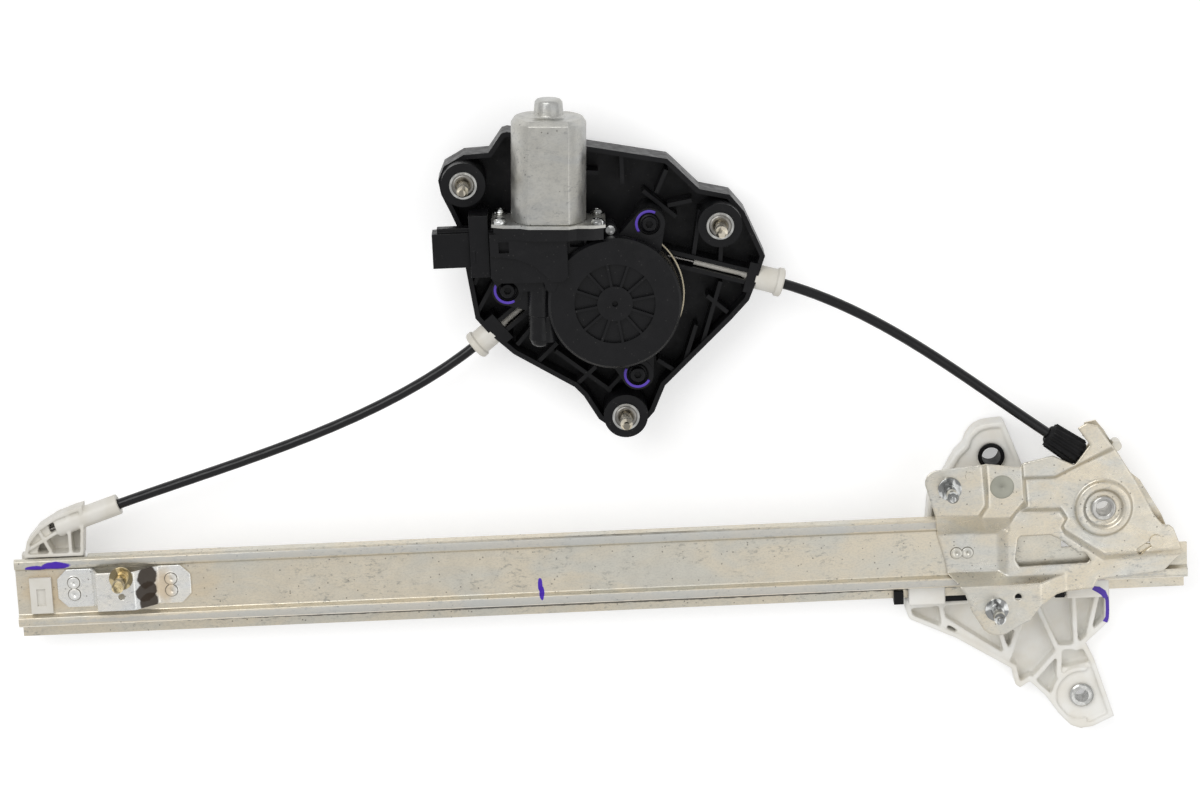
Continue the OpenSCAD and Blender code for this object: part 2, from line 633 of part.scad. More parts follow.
// A screw's ear: round the screw, with straight edges down to the disc
function ear(p, wide) = let(v = p - drum_c, a = atan2(v[1], v[0]), r = case_radius - 3) concat(
    [drum_c + r * direction(a + wide)], arc(p, 8, a + 65, a - 65, 10),
    [drum_c + r * direction(a - wide)], [drum_c]);
module gear_case() {
    ear_front = 3.5;
    cover_front = case_front + cover_thickness + gap;
    tube_foot = [219.4, 146];
    color("black") difference() {
        union() {
            disc(drum_c, case_radius, case_back, case_front);
            slab(box_foot, case_back, 9);
            difference() {
                union() {
                    slab(box_body, 0, 14);
                    slab(box_top, 1, 16.4);
                }
                disc(drum_c, case_radius + 0.1, case_front - 1, cover_front);
            }
            disc([254.9, 170.5], 3.2, case_back, 4);
            for (p = case_screw_places) {
                disc(p, 7.8, case_back, ear_front);
                slab(ear(p, 24), case_back, ear_front - 0.6);
            }
            on_motor() {
                translate([0, 0, -60]) cylinder(h = 40, r = 5.2);
                translate([0, 0, -6]) linear_extrude(6) polygon(inset(flange_outline, 1));
            }
            translate([tube_foot[0], tube_foot[1], motor_z]) rotate([0, 0, -motor_lean])
                rotate([90, 0, 0]) rotate_extrude() polygon([[0, -8], [6.4, -8], [6.4, 17],
                    [5.8, 17.6], [5.8, 29], [4.4, 32], [3, 33], [0, 33]]);
        }
        disc(drum_c, wheel_radius + 1.4, -5, case_front + 1);
        disc(drum_c, 5 + running + 0.01, case_back - 1, 0);
        for (p = case_screw_places) {
            disc(p, 2.6, case_back - 1, 10);
            disc(p, 5.6, 1, 17);
        }
        translate([199.8, 163.7, 12.4]) cube([5, 5.6, 8]);
        translate([234.8, 163.7, 5]) cube([7, 4.6, 8]);
        on_motor() {
            translate([0, 0, -12]) cylinder(h = 13, r = 10);
            translate([0, 0, -57]) cylinder(h = 50, r = 4.45);
            for (q = flange_holes) translate([q[0], q[1], -5]) cylinder(h = 8, r = 1.52);
        }
    }
}

module gear_cover() {
    recess = 20;
    top = case_front + cover_thickness;
    color("black") translate([drum_c[0], drum_c[1], 0]) {
        difference() {
            rotate_extrude() polygon([[0, case_front], [case_radius, case_front],
                [case_radius, top - 1.2], [case_radius - 1.2, top], [0, top]]);
            ring(recess, 8.8, case_front + 0.8, top + 1);
            translate([0, 0, case_front + 1]) cylinder(h = cover_thickness, r = 1.5);
        }
        for (k = [0 : cover_spokes - 1]) rotate(360 / cover_spokes * (k + 0.3))
            translate([8.5, -0.6, case_front + 0.7]) cube([recess - 8.3, 1.2, cover_thickness - 0.9]);
    }
}

module case_screws() {
    color("black") for (p = case_screw_places) {
        disc(p, 2, -21, 1);
        difference() {
            translate([p[0], p[1], 0]) rotate_extrude() polygon([[0, 1], [4.9, 1], [4.9, 2.1],
                [3.7, 2.6], [3.7, 4.6], [3.2, 5.1], [0, 5.1]]);
            translate([p[0], p[1], 2.8]) cylinder(h = 3, r = 1.9, $fn = 6);
        }
    }
}

module connector_module() {
    color("black") difference() {
        translate([185.5, 151, -5]) cube([9.4, 31, 17]);
        translate([187, 153.5, -3.5]) cube([6.4, 26, 14]);
        translate([184, 157.6, -1]) cube([4, 13.4, 8]);
    }
    color("white") translate([186.6, 158.5, 12]) cube([1.6, 6, 0.5]);
}

module connector_shroud() {
    color("black") difference() {
        union() {
            translate([167, 155.6, -3]) cube([18.5, 17.4, 12]);
            translate([169.5, 173, 0]) cube([16, 2, 6]);
        }
        translate([166, 157.2, -1.4]) cube([15.5, 14.2, 8.8]);
        for (y = [159.6 : 3.2 : 170]) translate([180, y, 2.2]) cube([8, 0.9, 0.9]);
    }
}

module connector_pins() {
    color("goldenrod") for (y = [159.6 : 3.2 : 170]) translate([174, y + 0.05, 2.25])
        cube([14.6, 0.8, 0.8]);
}

module circuit_board() {
    color("darkgreen") translate([188.7, 154.2, -2.8]) cube([1.6, 24.6, 12.6]);
    color("black") for (y = [159, 168]) translate([190.3, y, 0]) cube([2.4, 5, 6]);
    color("darkgreen") translate([190.3, 154.2, -3.5]) cube([3, 2, 1.5]);
}

module can_section(r, flat, z0, z1) {
    translate([0, 0, z0]) linear_extrude(z1 - z0) intersection() {
        circle(r);
        square([2 * r, flat], center = true);
    }
}

module motor_can() {
    wall = 1.5;
    r = can_width / 2;
    h = can_thickness / 2;
    color("silver") on_motor() difference() {
        union() {
            intersection() {
                can_section(r, can_thickness, 1.6, can_length);
                rotate_extrude() polygon([[0, 0], [r + 1, 0], [r + 1, can_length - 3.4],
                    [r - 0.6, can_length - 1.8], [r - 2.4, can_length + 1], [0, can_length + 1]]);
                translate([-r - 1, 0, 0]) rotate([90, 0, 90]) linear_extrude(2 * r + 2)
                    polygon([[-h - 1, 0], [h + 1, 0], [h + 1, can_length - 3.6],
                    [h - 0.5, can_length - 2], [h - 2.6, can_length + 1], [2.6 - h, can_length + 1],
                    [0.5 - h, can_length - 2], [-h - 1, can_length - 3.6]]);
            }
            rotate_extrude() polygon([[0, can_length - 2], [8.6, can_length - 2], [8.6, can_length],
                [7.4, can_length + 0.8], [6.8, can_length + 7.2], [5.8, can_length + 8.6],
                [0, can_length + 9]]);
        }
        can_section(r - wall, can_thickness - 2 * wall, 0, can_length - 3 - wall);
        translate([0, 0, can_length - 5]) cylinder(h = 11, r = 5.02);
    }
}

module motor_flange() {
    color("silver") on_motor() difference() {
        linear_extrude(1.6) polygon(flange_outline);
        translate([0, 0, -1]) cylinder(h = 4, r = 9.9);
        for (q = flange_holes) translate([q[0], q[1], -1]) cylinder(h = 4, r = 1.7);
    }
}

module flange_screws() {
    color("silver") on_motor() for (q = flange_holes) translate([q[0], q[1], 0]) {
        translate([0, 0, -4.6]) cylinder(h = 6.2, r = 1.5);
        translate([0, 0, 1.6]) difference() {
            rotate_extrude() polygon([[0, 0], [3.4, 0], [3.4, 1.4], [2.4, 2.7], [0, 2.7]]);
            translate([0, 0, 1.2]) cylinder(h = 2, r = 1.3, $fn = 6);
        }
    }
    color("silver") disc([254.9, 170.5], 2.4, 4, 5.4);
}

magnet_out = can_width / 2 - 1.55;
module magnets() {
    color("dimgray") on_motor() translate([0, 0, 8]) linear_extrude(can_length - 17)
        for (s = [0, 180]) rotate(s) intersection() {
            difference() {
                circle(magnet_out);
                circle(13.3);
            }
            polygon([[0, 0], [20, -14], [20, 14]]);
        }
}

module end_bearing() {
    color("peru") on_motor() ring(5, shaft_r + running, can_length - 3, can_length + 5.9);
}

module shaft_bushes() {
    color("peru") on_motor() for (z = [-19, -56.9])
        ring(4.43, shaft_r + running, z, z + 5);
}

module brush_holder() {
    color("saddlebrown") on_motor() ring(9.9, 6.6, -11.9, -8);
}

module brushes() {
    color("dimgray") on_motor() for (s = [0, 180]) rotate(s)
        translate([5.2, -2, -7.95]) cube([4.2, 4, 4.5]);
}

// The cable where it shows: guide bend, run in the rail and pulley, then the wraps on the drum
rail_route = concat(
    [guide_exit + (guide_tube - 8.5) * direction(lead_angle)],
    arc(guide_c, guide_radius, 90 + lead_angle, 270, 14),
    arc(pulley_c, pulley_radius, -90, 90 + boot_angle, 14),
    [pulley_tangent - 24.2 * direction(boot_angle)]);
wrap_rise = 2.5;
wraps = 2;
wrap_steps = 60;
drum_route = concat(
    [left_mouth + (conduit_seat + 0.4) * direction(left_angle),
        left_mouth + (fitting_body + left_liner) * direction(left_angle)],
    arc(drum_c, drum_radius, 90 + left_angle, 90 + right_angle - 360 * wraps, wrap_steps),
    [right_mouth - (fitting_body + right_liner) * direction(right_angle),
        right_mouth - (conduit_seat + 0.4) * direction(right_angle)]);
drum_rise = concat([0, 0], [for (i = [0 : wrap_steps]) wrap_rise * (2 * i / wrap_steps - 1)],
    [0, 0]);
module cables() {
    color("gray") {
        hose(rail_route, flat(rail_route), cable_r, 8);
        hose(drum_route, drum_rise, cable_r, 8);
    }
}

module rail_stop() {
    color("black") translate([-10, rail_y - 8, web_back - 9]) cube([7, 11, 9]);
}

// Outline of the carrier, round from the upper ear
carrier_outline = concat(
    [[-42, -20], [-49, -28.5], [-52, -30], [-51.1, -43.5], [-49.1, -48.7], [-25, -60.2],
        [3.6, -78.2], [5.2, -86.9], [7.6, -88.8], [12.7, -85.5], [20.8, -93.8],
        [27.4, -103.7], [33.9, -110.7], [38.9, -112.6], [45.5, -111.7], [56.4, -106.5],
        [46.6, -75.8], [41.8, -65.9], [54.3, -54.3], [54.3, -30], [30, -20], [16, 10],
        [9.7, 32.8], [2.2, 52.7], [0.7, 54.9]],
    arc([-6, 41], 13.5, 90, 170, 5),
    [[-24.1, 38.5], [-30, 28], [-38, 16]]);
carrier_ribs = [[[-50.3, -42], [34, -38.5]], [[-32.4, -42.8], [-30.8, -56]],
    [[-30.8, -50], [1.9, -73]], [[-6.8, -41], [1.9, -73]], [[1.9, -73], [12, -41]],
    [[16.7, -44], [27.8, -70]], [[27.8, -70], [15.3, -84]], [[35.9, -39.4], [37, -70]],
    [[42.4, -66], [48.2, -40]], [[8.8, -57], [-6.8, -52.8]], [[27.8, -68], [43, -68]],
    [[27.8, -84], [28.6, -68.6]], [[-38, -20], [20, -20]], [[-30, 12], [14, 12]],
    [[-20, -20], [-10, 12]], [[12, -20], [0, 12]]];
shoe_x = [[-50, -31], [31, 53]];
lug_pad = [[28, -80], [70, -72], [70, -120], [28, -120]];
ear_pad = [[-40, 20], [20, 20], [20, 60], [-40, 60]];

module carrier() {
    back_skin = 3.6;
    inner = inset(carrier_outline, carrier_rib / 2);
    bushing = bushing_place - [carrier_x, 0];
    color("white") translate([carrier_x, 0, 0]) difference() {
        union() {
            tray(carrier_outline, carrier_rib, carrier_back, carrier_back + back_skin,
                carrier_front);
            ribs(carrier_ribs, carrier_rib, inner, carrier_back + 1, carrier_front - 0.8);
            translate([0, 0, carrier_back + 1]) linear_extrude(carrier_thickness - 3.4)
                intersection() {
                    polygon(inner);
                    union() {
                        polygon(lug_pad);
                        translate(bushing) circle(14);
                    }
                }
            translate([0, 0, carrier_back + 1]) linear_extrude(carrier_thickness - 2.4)
                intersection() {
                    polygon(inner);
                    polygon(ear_pad);
                }
            translate([0, 0, carrier_back + 1]) linear_extrude(carrier_thickness - 1.6)
                intersection() {
                    polygon(inner);
                    difference() {
                        translate(bushing) circle(15.4);
                        translate(bushing) circle(13);
                        polygon([for (p = lug_pad) p + [14, 0]]);
                    }
                }
            translate([-22, upper_y - 3.4, carrier_back + 1])
                cube([34, 5.2, -15.6 - carrier_back]);
            translate([-20, run_y - 5, carrier_back + 1]) cube([38, 10, -15.2 - carrier_back]);
            for (q = shoe_x) translate([q[0], flange_y - 3.2, carrier_back + 1])
                cube([q[1] - q[0], flange_width + 1.4, flange_front + 3 - carrier_back]);
        }
        translate([-30, upper_y - rail_sheet - gap, upper_edge - gap])
            cube([50, rail_sheet + 2 * gap, 10]);
        translate([-30, run_y - 1.3, cable_z - 1.3]) cube([60, 2.6, 10]);
        for (x = [-14, 4]) translate([x, run_y - 2.6, cable_z - 2.6]) cube([8, 5.2, 10]);
        translate([-60, flange_y - gap, flange_back - gap])
            cube([120, flange_width + 5, rail_sheet + 2 * gap]);
        disc(grommet_place - [carrier_x, 0], 6.03, carrier_back - 1, 0);
        disc(bushing, 5.03, carrier_back - 1, 0);
    }
}

module glass_bushing() {
    r = bushing_hole / 2;
    face = carrier_front - 1.5;
    color("silver") translate([bushing_place[0], bushing_place[1], 0]) rotate_extrude()
        polygon([[r, carrier_back], [5, carrier_back], [5, face], [6.2, face],
            [6.2, face + 1], [5.4, face + 1.6], [r, face + 1.6]]);
}

module grommet_clip() {
    r = grommet_hole / 2;
    color("black") translate([grommet_place[0], grommet_place[1], 0]) rotate_extrude()
        polygon([[r, carrier_back], [6, carrier_back], [6, carrier_front],
            [6.8, carrier_front], [6.8, carrier_front + 1.2], [r, carrier_front + 1.2]]);
}

module cable_nipples() {
    color("silver") for (x = [-13.6, 4.4]) translate([carrier_x + x, run_y, cable_z]) rotate([0, 90, 0])
        difference() {
            cylinder(h = 7.2, r = 2.4);
            translate([0, 0, -1]) cylinder(h = 10, r = cable_r + 0.1);
        }
}

// Wear shoes clipped round the slide flange between the carrier's jaws
module slide_shoes() {
    color("black") for (x = [-57.4, 25.4]) translate([carrier_x + x, 0, 0]) difference() {
        translate([0, flange_y - 2.8, flange_back - 2.4]) cube([5, 7.2, rail_sheet + 4.8]);
        translate([-1, flange_y - gap, flange_back - gap]) cube([9, 10, rail_sheet + 2 * gap]);
    }
}

module cable_drum() {
    r = drum_radius;
    c = cable_r + gap;
    color("ivory") difference() {
        disc(drum_c, r + 2.2, drum_back, drum_front);
        translate([drum_c[0], drum_c[1], cable_z]) rotate_extrude()
            translate([r - c, -wrap_rise - c]) square([c + 5, 2 * (wrap_rise + c)]);
        disc(drum_c, 4 + running, drum_back - 1, -18.6);
        disc(drum_c, 5.02, -18.7, 0);
    }
}

module output_shaft() {
    color("silver") {
        disc(drum_c, 5, -18.5, 8.6);
        disc(drum_c, 3, 8.5, case_front - gap);
    }
}

module worm_wheel() {
    teeth = 73;
    tip = wheel_radius;
    root = tip - 1.6;
    color("ivory") difference() {
        translate([drum_c[0], drum_c[1], motor_z - 4]) linear_extrude(8)
            polygon([for (i = [0 : teeth - 1]) for (q = [[0, root], [0.22, tip], [0.5, tip],
                [0.72, root]]) q[1] * direction(360 * (i + q[0]) / teeth)]);
        disc(drum_c, 5.02, -8, 12);
        for (k = [0 : 5]) disc(drum_c + 16 * direction(60 * k), 4, -8, 12);
    }
}

module pulley() {
    r = pulley_radius;
    half = 2.1;
    color("black") translate([pulley_c[0], pulley_c[1], cable_z]) rotate_extrude() polygon([
        [5.2 + running, -half], [r + 1.6, -half], [r + 1.6, -cable_r - 0.9],
        [r - cable_r - 0.5, -cable_r], [r - cable_r - 0.5, cable_r], [r + 1.6, cable_r + 0.9],
        [r + 1.6, half], [5.2 + running, half]]);
}

module armature_shaft() {
    color("silver") on_motor() {
        translate([0, 0, -56.5]) cylinder(h = can_length + 61, r = shaft_r);
        for (k = [0 : 7]) translate([0, 0, -51 + 3 * k])
            cylinder(h = 1.6, r = worm_radius);
    }
}

module armature_core() {
    color("gray") on_motor() translate([0, 0, 12]) linear_extrude(can_length - 25) difference() {
        circle(12.6);
        circle(shaft_r + 0.02);
        for (k = [0 : 9]) rotate(36 * k) translate([9, 0]) circle(1.8, $fn = 16);
        for (k = [0 : 9]) rotate(36 * k) translate([9, -0.8]) square([6, 1.6]);
    }
}

module armature_windings() {
    color("chocolate") on_motor() for (z = [6.2, can_length - 12.9])
        ring(10.8, shaft_r + 0.02, z, z + 5.7);
}

module commutator() {
    color("peru") on_motor() translate([0, 0, -7]) linear_extrude(11) difference() {
        circle(5);
        circle(shaft_r + 0.02);
        for (k = [0 : 9]) rotate(36 * k) translate([4.2, -0.2]) square([2, 0.4]);
    }
}

guide_rail();
lower_bracket();
lower_stud();
rail_clip();
cable_guide();
pulley_plate();
back_plate();
pulley_axle();
plate_studs();
plate_rivets();
conduit_boot();
right_conduit();
left_conduit();
right_fitting();
left_fitting();
drum_housing();
housing_bushings();
housing_studs();
gear_case();
gear_cover();
case_screws();
connector_module();
connector_shroud();
connector_pins();
circuit_board();
motor_can();
motor_flange();
flange_screws();
magnets();
end_bearing();
shaft_bushes();
brush_holder();
brushes();
cables();
rail_stop();
carrier();
glass_bushing();
grommet_clip();
cable_nipples();
slide_shoes();
cable_drum();
output_shaft();
worm_wheel();
pulley();
armature_shaft();
armature_core();
armature_windings();
commutator();
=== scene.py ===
"""A cable window regulator on a white sweep: materials, rounded edges and small moulded detail."""

import math

import bpy
from mathutils import Matrix, Vector


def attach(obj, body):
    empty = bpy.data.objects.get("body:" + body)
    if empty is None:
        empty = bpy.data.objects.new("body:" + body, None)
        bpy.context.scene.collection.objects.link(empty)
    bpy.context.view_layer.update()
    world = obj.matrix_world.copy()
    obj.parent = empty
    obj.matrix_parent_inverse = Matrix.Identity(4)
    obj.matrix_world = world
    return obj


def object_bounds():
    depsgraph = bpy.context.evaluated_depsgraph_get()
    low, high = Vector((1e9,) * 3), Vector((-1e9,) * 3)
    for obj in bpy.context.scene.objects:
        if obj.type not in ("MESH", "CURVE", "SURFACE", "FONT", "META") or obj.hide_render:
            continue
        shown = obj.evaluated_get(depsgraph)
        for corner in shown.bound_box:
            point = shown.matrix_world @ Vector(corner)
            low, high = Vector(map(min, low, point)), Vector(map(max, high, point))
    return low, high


MM = 0.001
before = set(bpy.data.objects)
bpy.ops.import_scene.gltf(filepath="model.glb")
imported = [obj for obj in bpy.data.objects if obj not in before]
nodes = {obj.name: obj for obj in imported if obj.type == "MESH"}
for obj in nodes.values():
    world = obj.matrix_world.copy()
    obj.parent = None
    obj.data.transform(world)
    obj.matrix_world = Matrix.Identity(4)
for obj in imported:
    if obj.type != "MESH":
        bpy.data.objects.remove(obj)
cad_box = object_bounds()
scene = bpy.context.scene

ROOT = "regulator_frame"
CARRIER = "glass_carrier"

# Places on the solids that the added detail follows, in millimetres of the frame
DRUM_CENTRE = (255.7, 135.0)
HOUSING_STUDS = ((183.4, 194.9), (309.4, 169), (258.9, 73.4))
CASE_SCREWS = ((274.2, 172.5), (202.9, 141.9), (265.6, 96.1))
BRACKET_MIDDLE = -7.3
BRACKET_CLINCHES = ((-25.5, -3.1), (-25.5, 3.1), (24, -3.1), (24, 3.1))
PLATE_CLINCHES = ((424.2, -9.0), (429.8, -9.0))
PLATE_DISC = (447.3, 26.9)
LOW_FACE, DISC_FACE = -10.6, -4.5


# Materials

class Shader:
    """A material's node tree, with short calls for the nodes that the finishes share."""

    def __init__(self, name):
        self.material = bpy.data.materials.new(name)
        self.material.use_nodes = True
        self.tree = self.material.node_tree
        self.bsdf = self.tree.nodes["Principled BSDF"]
        self.place = self.add("ShaderNodeTexCoord").outputs["Object"]

    def add(self, kind, **inputs):
        node = self.tree.nodes.new(kind)
        for key, value in inputs.items():
            self.put(node.inputs[key.replace("_", " ")], value)
        return node

    def put(self, socket, value):
        if isinstance(value, bpy.types.NodeSocket):
            self.tree.links.new(value, socket)
        else:
            socket.default_value = value

    def noise(self, size, detail=3.0, rough=0.55, stretch=(1, 1, 1), twist=0.0):
        """Noise from 0 to 1 whose patches are about size metres across."""
        at = self.add("ShaderNodeMapping", Vector=self.place,
                      Scale=[1 / (size * s) for s in stretch])
        return self.add("ShaderNodeTexNoise", Vector=at.outputs[0], Scale=1.0, Detail=detail,
                        Roughness=rough, Distortion=twist).outputs["Fac"]

    def ramp(self, value, low, high, to_low=0.0, to_high=1.0):
        """Takes low to to_low and high to to_high, with a smooth step between them."""
        node = self.add("ShaderNodeMapRange", Value=value)
        node.interpolation_type = "SMOOTHSTEP"
        for index, number in ((1, low), (2, high), (3, to_low), (4, to_high)):
            node.inputs[index].default_value = number
        return node.outputs[0]

    def math(self, operation, a, b):
        node = self.tree.nodes.new("ShaderNodeMath")
        node.operation = operation
        self.put(node.inputs[0], a)
        self.put(node.inputs[1], b)
        return node.outputs[0]

    def mix(self, factor, a, b):
        """The colour a where factor is 0 and b where it is 1."""
        node = self.tree.nodes.new("ShaderNodeMix")
        node.data_type = "RGBA"
        self.put(node.inputs[0], factor)
        for socket, colour in ((node.inputs[6], a), (node.inputs[7], b)):
            self.put(socket, colour if isinstance(colour, bpy.types.NodeSocket) else (*colour, 1))
        return node.outputs[2]

    def patch(self, centre, size, edge):
        """1 inside an ellipsoid in millimetres of the frame, 0 outside, with a ragged edge."""
        shift = self.add("ShaderNodeVectorMath", Vector=self.place)
        shift.operation = "SUBTRACT"
        shift.inputs[1].default_value = [c * MM for c in centre]
        scale = self.add("ShaderNodeVectorMath", Vector=shift.outputs[0])
        scale.operation = "DIVIDE"
        scale.inputs[1].default_value = [s * MM for s in size]
        length = self.add("ShaderNodeVectorMath", Vector=scale.outputs[0])
        length.operation = "LENGTH"
        ragged = self.math("MULTIPLY", self.math("SUBTRACT", self.noise(4 * MM), 0.5), 0.44)
        return self.ramp(self.math("ADD", length.outputs["Value"], ragged), 1.0, 1.0 - edge)

    def specks(self, size, share):
        """Scattered dots: 1 on a share of the cells of that size."""
        at = self.add("ShaderNodeMapping", Vector=self.place, Scale=[1 / size] * 3)
        cells = self.add("ShaderNodeTexVoronoi", Vector=at.outputs[0], Scale=1.0)
        near = self.ramp(cells.outputs["Distance"], 0.34, 0.16)
        split = self.add("ShaderNodeSeparateColor", Color=cells.outputs["Color"])
        chosen = self.math("LESS_THAN", split.outputs[0], share)
        return self.math("MULTIPLY", near, chosen)

    def bump(self, height, distance, strength, below=None):
        node = self.add("ShaderNodeBump", Height=height, Strength=strength, Distance=distance)
        if below is not None:
            self.put(node.inputs["Normal"], below)
        return node.outputs[0]

    def done(self, colour, rough, **fixed):
        self.put(self.bsdf.inputs["Base Color"],
                 colour if isinstance(colour, bpy.types.NodeSocket) else (*colour, 1))
        self.put(self.bsdf.inputs["Roughness"], rough)
        for key, value in fixed.items():
            self.put(self.bsdf.inputs[key.replace("_", " ")], value)
        return self.material


# Colours of the marks on the sheet metal, of dirt and dust, and of the painted reflection and
# painted shadow along the rail's beads
PURPLE = (0.07, 0.02, 0.42)
RUST = (0.028, 0.016, 0.007)
TAN = (0.56, 0.40, 0.20)
PAINTED_SHADE = (0.06, 0.055, 0.05)
BEAD_REFLECTION = (0.44, 0.455, 0.46)
PIT = (0.08, 0.07, 0.06)
SPOT = (0.13, 0.10, 0.07)
VEIL = (0.16, 0.155, 0.15)
DUST = (0.4, 0.38, 0.35)


def zinc(name, warm, cool, rough=0.34, dots=0.07, marks=(), shine=0.85):
    """Zinc-plated sheet: faint warm and bluish clouds, pickling grain and a few tiny dark pits."""
    s = Shader(name)
    clouds = s.ramp(s.noise(22 * MM, 3, 0.6, (2, 1, 1), 0.8), 0.38, 0.72, 0.0, 0.7)
    colour = s.mix(clouds, warm, cool)
    grain = s.ramp(s.noise(0.8 * MM, 2, 0.7, (1.6, 1, 1)), 0.42, 0.7, 0.0, 0.3)
    colour = s.mix(grain, colour, [c * 0.66 for c in cool])
    worn = s.math("MULTIPLY", s.ramp(s.noise(1.8 * MM, 4, 0.75, (2, 1, 1)), 0.52, 0.66),
                  s.ramp(s.noise(20 * MM, 2), 0.45, 0.62, 0.05, 0.6))
    colour = s.mix(worn, colour, [c * 0.5 for c in cool])
    pits = s.math("MULTIPLY", s.specks(1.5 * MM, dots), 0.7)
    colour = s.mix(pits, colour, PIT)
    dull = 0.0
    # The marks are stains and paint, and on the rail also painted reflection and painted shadow
    # along the beads
    for centre, size, tint, strength in marks:
        edge = 0.55 if tint is TAN else 0.16
        mask = s.math("MULTIPLY", s.patch(centre, size, edge), strength)
        colour = s.mix(mask, colour, tint)
        dull = s.math("ADD", dull, mask)
    wear = s.ramp(s.noise(7 * MM, 4, 0.65), 0.3, 0.75, rough - 0.08, rough + 0.12)
    rough_out = s.math("MINIMUM", s.math("ADD", wear, s.math("MULTIPLY", dull, 0.25)), 0.85)
    metal = s.math("SUBTRACT", shine, s.math("MULTIPLY", s.math("MINIMUM", dull, 1.0), 0.6))
    normal = s.bump(s.noise(0.7 * MM, 2), 0.01 * MM, 0.3)
    normal = s.bump(s.noise(11 * MM, 2), 0.22 * MM, 0.4, normal)
    return s.done(colour, rough_out, Metallic=metal, Normal=normal)


def steel(name, colour, rough=0.2, spots=0.0, dark=0.3):
    """Turned steel with painted reflection: noise blotches darken the base colour by the dark
    share, standing in for darker surroundings that a polished face mirrors.
    """
    s = Shader(name)
    # Painted reflection: blotches of darker tone in the base colour stand in for surroundings
    # mirrored by polished steel
    painted_reflection = s.ramp(s.noise(3.2 * MM, 0, 0.5, (1, 2, 1), 0.6), 0.42, 0.56, 0.0, dark)
    tone = s.mix(painted_reflection, colour, [c * 0.22 for c in colour])
    if spots:
        tone = s.mix(s.math("MULTIPLY", s.specks(0.9 * MM, spots), 0.5), tone, SPOT)
    wear = s.ramp(s.noise(1.6 * MM, 3), 0.3, 0.7, rough - 0.05, rough + 0.1)
    return s.done(tone, wear, Metallic=1.0)


def plastic(name, colour, rough=0.45, grain=0.35, dust=0.0, tint=None, shine=0.5):
    """Moulded plastic: fine texture, faint flow tone and optional pale dust in patches."""
    s = Shader(name)
    second = tint or [c * 0.8 for c in colour]
    tone = s.mix(s.ramp(s.noise(16 * MM, 3), 0.35, 0.7), colour, second)
    if dust:
        veil = s.math("MULTIPLY", s.ramp(s.noise(7 * MM, 5, 0.7), 0.5, 0.85), dust)
        tone = s.mix(veil, tone, VEIL)
        tone = s.mix(s.math("MULTIPLY", s.specks(1.1 * MM, 0.05), dust * 2), tone, DUST)
    wear = s.ramp(s.noise(4 * MM, 4), 0.3, 0.7, rough - 0.07, rough + 0.08)
    normal = s.bump(s.noise(0.35 * MM, 2), 0.02 * MM, grain)
    normal = s.bump(s.noise(9 * MM, 2), 0.15 * MM, 0.25, normal)
    return s.done(tone, wear, Normal=normal, Specular_IOR_Level=shine)


def strand(name):
    """Stranded cable: fine slanted lay of the wires."""
    s = Shader(name)
    turn = s.add("ShaderNodeMapping", Vector=s.place, Rotation=(0.6, 0.7, 0.6))
    wave = s.add("ShaderNodeTexWave", Vector=turn.outputs[0], Scale=900.0, Distortion=0.4)
    tone = s.mix(wave.outputs["Fac"], (0.16, 0.15, 0.14), (0.55, 0.53, 0.50))
    return s.done(tone, 0.35, Metallic=0.9, Normal=s.bump(wave.outputs["Fac"], 0.1 * MM, 0.6))


# Marks as centre, half size, colour and strength, in millimetres of the frame
RAIL_MARKS = (
    ((-38, -8, -14), (20, 16, 10), TAN, 0.4),
    ((38, -8, -14), (14, 12, 8), TAN, 0.25),
    # Painted reflection: bluish grey bands along both beads. Painted shadow: dark lines at the
    # beads' edges and on the lower flange under the lower bead
    ((243.5, 6.6, -9.0), (308, 2.2, 3), BEAD_REFLECTION, 0.55),
    ((243.5, 3.9, -11.6), (308, 0.5, 1.4), PAINTED_SHADE, 0.5),
    ((243.5, -24.4, -9.0), (308, 2.2, 3), BEAD_REFLECTION, 0.55),
    ((243.5, -21.7, -11.6), (308, 0.5, 1.4), PAINTED_SHADE, 0.5),
    ((243.5, -29.2, -22.2), (308, 2.6, 1.6), PAINTED_SHADE, 0.85),
    ((-44, 4.6, -11), (6, 1.6, 8), PURPLE, 1.0),
    ((-34, 5.6, -10), (8, 2.4, 8), PURPLE, 1.0),
    ((211.6, -16.8, -12), (1.3, 4, 6), PURPLE, 1.0),
    ((212.3, -20.8, -12), (1.4, 4, 6), PURPLE, 1.0))
BRACKET_MARKS = (
    ((20.5, -8, -9), (6.5, 12, 6), TAN, 0.6),
    ((12.4, -1.5, -6), (5.4, 6.5, 9), RUST, 0.97),
    ((11.4, -9, -6), (6, 5.5, 9), RUST, 0.97),
    ((12.8, -15, -6), (5.2, 5.4, 9), RUST, 0.97))

rail_zinc = zinc("rail_zinc", (0.74, 0.67, 0.54), (0.63, 0.63, 0.58), 0.38, 0.07, RAIL_MARKS)
plate_zinc = zinc("plate_zinc", (0.72, 0.65, 0.52), (0.62, 0.64, 0.63), 0.33, 0.05)
bracket_zinc = zinc("bracket_zinc", (0.86, 0.83, 0.76), (0.78, 0.81, 0.84), 0.27, 0.03,
                    BRACKET_MARKS, shine=0.65)
stud_chrome = steel("stud_chrome", (0.76, 0.77, 0.76), 0.13, dark=0.85)
stud_warm = steel("stud_warm", (0.76, 0.70, 0.58), 0.15, dark=0.8)
stud_gold = steel("stud_gold", (0.74, 0.61, 0.36), 0.18, dark=0.8)
seat_steel = steel("seat_steel", (0.62, 0.62, 0.60), 0.22, dark=0.35)
dull_steel = steel("dull_steel", (0.62, 0.61, 0.58), 0.32, 0.06)
motor_steel = zinc("motor_steel", (0.50, 0.49, 0.45), (0.44, 0.45, 0.45), 0.38, 0.03)
